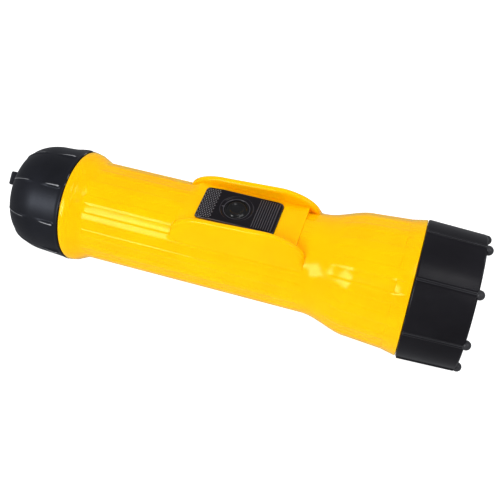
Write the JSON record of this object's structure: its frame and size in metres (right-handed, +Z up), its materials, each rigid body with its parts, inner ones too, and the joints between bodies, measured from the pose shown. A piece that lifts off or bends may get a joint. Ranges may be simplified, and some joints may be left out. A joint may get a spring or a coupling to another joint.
{
  "type": "flashlight",
  "caption": "Hand flashlight with a guarded slide switch and signal button, a screw-on lens ring, a fluted grip, a bell-shaped head and a screw-on tail cap with a hang lug.",
  "frame": {"origin": "under the middle of the length, on the surface that the lens ring rests on", "axes": "+X along the tube towards the lens, +Z up through the switch"},
  "size_m": [0.2028, 0.0554, 0.0554],
  "materials": {
    "body_yellow": "glossy yellow moulded polymer",
    "black_ring": "satin black moulded polymer",
    "black_cap": "satin black moulded polymer",
    "black_switch": "satin black moulded polymer with a knurled and ribbed grip",
    "button_black": "polished black moulded polymer",
    "rubber": "soft black rubber",
    "lens_clear": "clear moulded polycarbonate",
    "mirror": "vacuum-metallised plastic",
    "lamp_clear": "clear blown glass",
    "lamp_wire": "drawn wire with a glass bead",
    "lamp_insulator": "black glass insulator with a tinned contact",
    "brass": "stamped brass, slightly tarnished",
    "plated_steel": "nickel-plated steel",
    "spring_steel": "nickel-plated spring steel",
    "cell_wrap": "plain blue shrink sleeve"
  },
  "bodies": {
    "tube": {"body": "body_yellow", "head_seal": "rubber", "tail_seal": "rubber", "rear_strip": "brass", "front_strip": "brass", "strip_rivets": "brass"},
    "lamp_pack": {"lens": "lens_clear", "lens_gasket": "rubber", "reflector": "mirror", "lamp_glass": "lamp_clear", "lamp_filament": "lamp_wire", "lamp_base": "brass", "lamp_tip": "lamp_insulator", "lamp_retainer": "black_ring", "lamp_contact": "brass"},
    "ring": {"lens_ring": "black_ring"},
    "cells": {"front_cell_jacket": "cell_wrap", "front_cell_can": "plated_steel", "front_cell_terminal": "plated_steel", "front_cell_base": "plated_steel", "rear_cell_jacket": "cell_wrap", "rear_cell_can": "plated_steel", "rear_cell_terminal": "plated_steel", "rear_cell_base": "plated_steel"},
    "tail_carrier": {"tail_contact": "plated_steel", "tail_spring": "spring_steel"},
    "cap": {"tail_cap": "black_cap"},
    "switch": {"switch_plate": "black_switch", "switch_contact": "brass", "button_dome": "spring_steel"},
    "button": {"signal_button": "button_black"}
  },
  "joints": [
    {"name": "lamp_pack_slide", "type": "slide", "parent": "tube", "child": "lamp_pack", "axis": [1, 0, 0], "range_m": [0, 0.012]},
    {"name": "lens_ring_unscrew", "type": "hinge", "parent": "lamp_pack", "child": "ring", "pos_m": [0.0839, 0, 0.0277], "axis": [1, 0, 0], "range_deg": [0, 1080]},
    {"name": "cells_out", "type": "slide", "parent": "tube", "child": "cells", "axis": [-1, 0, 0], "range_m": [0, 0.14]},
    {"name": "tail_carrier_slide", "type": "slide", "parent": "cells", "child": "tail_carrier", "axis": [-1, 0, 0], "range_m": [0, 0.012]},
    {"name": "tail_cap_unscrew", "type": "hinge", "parent": "tail_carrier", "child": "cap", "pos_m": [-0.0811, 0, 0.0277], "axis": [-1, 0, 0], "range_deg": [0, 1080]},
    {"name": "switch_slide", "type": "slide", "parent": "tube", "child": "switch", "axis": [1, 0, 0], "range_m": [0, 0.008]},
    {"name": "signal_press", "type": "slide", "parent": "switch", "child": "button", "axis": [0, 0, -1], "range_m": [0, 0.0006], "stiffness_N_per_m": 400, "deforming": ["button_dome"]}
  ],
  "couplings": [
    {"joint": "lens_ring_unscrew", "follows": "lamp_pack_slide", "rad_per_m": 1570.8},
    {"joint": "tail_cap_unscrew", "follows": "tail_carrier_slide", "rad_per_m": 1570.8}
  ]
}
